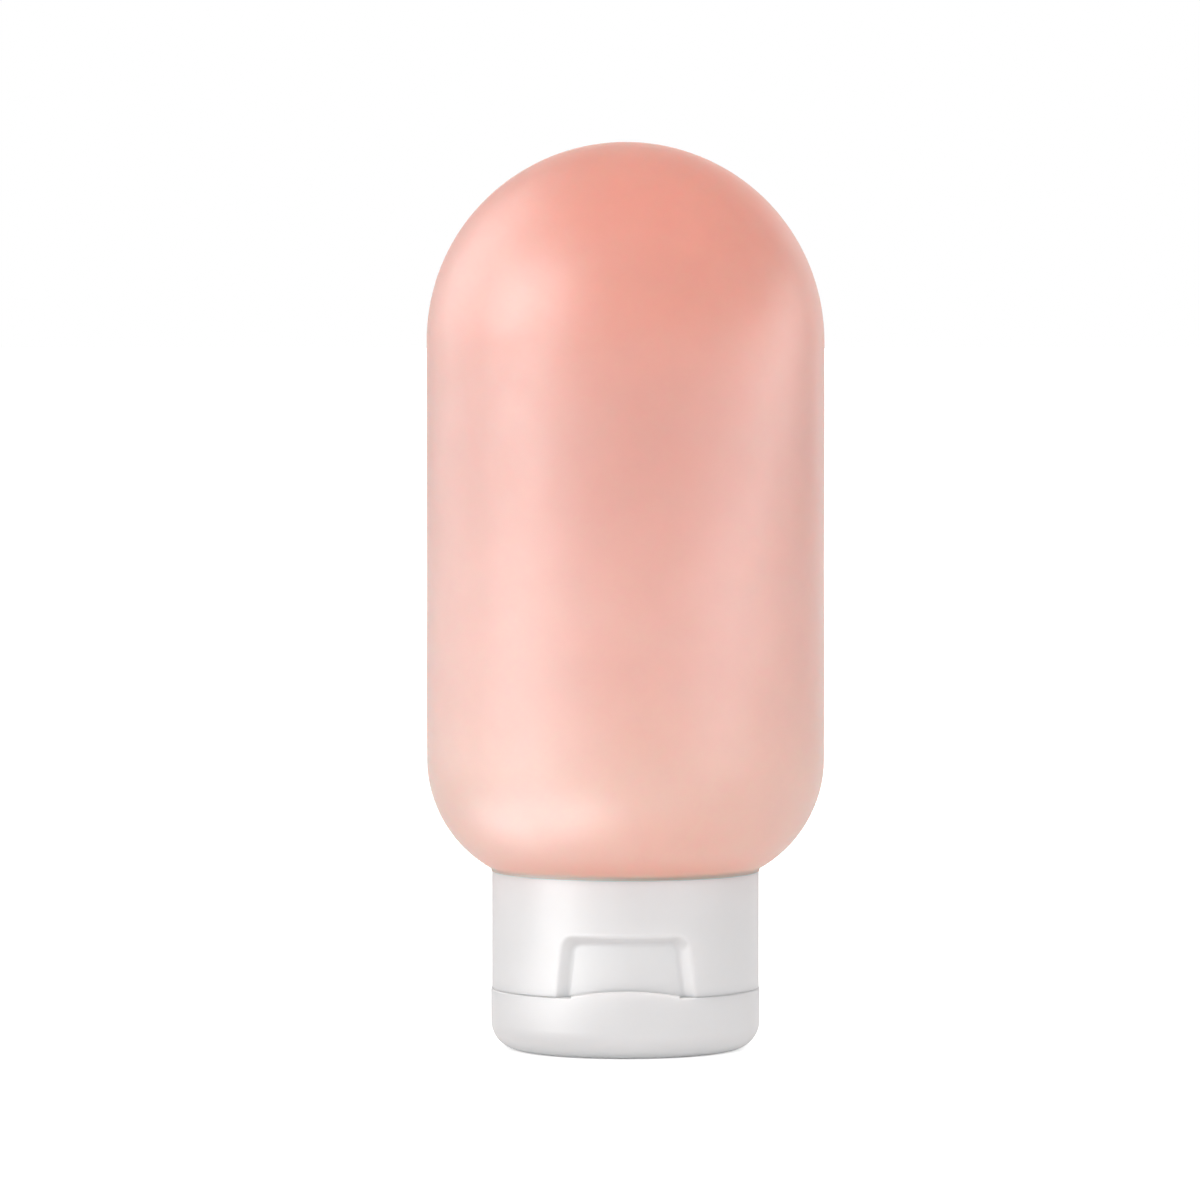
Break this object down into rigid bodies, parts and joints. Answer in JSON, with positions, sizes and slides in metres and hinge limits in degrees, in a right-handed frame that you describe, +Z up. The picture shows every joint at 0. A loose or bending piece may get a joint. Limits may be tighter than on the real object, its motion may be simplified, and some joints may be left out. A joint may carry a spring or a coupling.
{
  "type": "travel squeeze bottle",
  "caption": "Soft silicone squeeze bottle with a domed end, standing upside down on a screw-on flip-top cap with a thumb recess and a slit valve.",
  "frame": {"origin": "centre of the lid's flat outer face, on which the bottle stands", "axes": "+Z up along the bottle's axis towards the domed end; -Y towards the thumb recess; the hinge is at +Y"},
  "size_m": [0.046, 0.046, 0.1049],
  "materials": {
    "body_silicone": "matte translucent silicone",
    "cap_plastic": "semi-gloss polypropylene",
    "collar_plastic": "natural polypropylene",
    "seal_silicone": "clear silicone"
  },
  "bodies": {
    "bottle": {"bottle_shell": "body_silicone", "neck_collar": "collar_plastic"},
    "gasket": {"neck_gasket": "seal_silicone"},
    "cap": {"cap_base": "cap_plastic", "slit_valve": "seal_silicone", "valve_retainer": "collar_plastic", "hinge_film": "cap_plastic", "hinge_spring_left": "cap_plastic", "hinge_spring_right": "cap_plastic"},
    "lid": {"flip_lid": "cap_plastic"}
  },
  "joints": [
    {"name": "cap_rise", "type": "slide", "parent": "bottle", "child": "gasket", "axis": [0, 0, -1], "range_m": [0, 0.0159]},
    {"name": "cap_turn", "type": "hinge", "parent": "gasket", "child": "cap", "pos_m": [0, 0, 0.0084], "axis": [0, 0, -1], "range_deg": [0, 1800]},
    {"name": "lid_open", "type": "hinge", "parent": "cap", "child": "lid", "pos_m": [0, 0.0147, 0.0071], "axis": [1, 0, 0], "range_deg": [0, 150], "deforming": ["hinge_film", "hinge_spring_left", "hinge_spring_right"]}
  ],
  "couplings": [
    {"joint": "cap_rise", "follows": "cap_turn", "m_per_rad": 0.00050532}
  ]
}
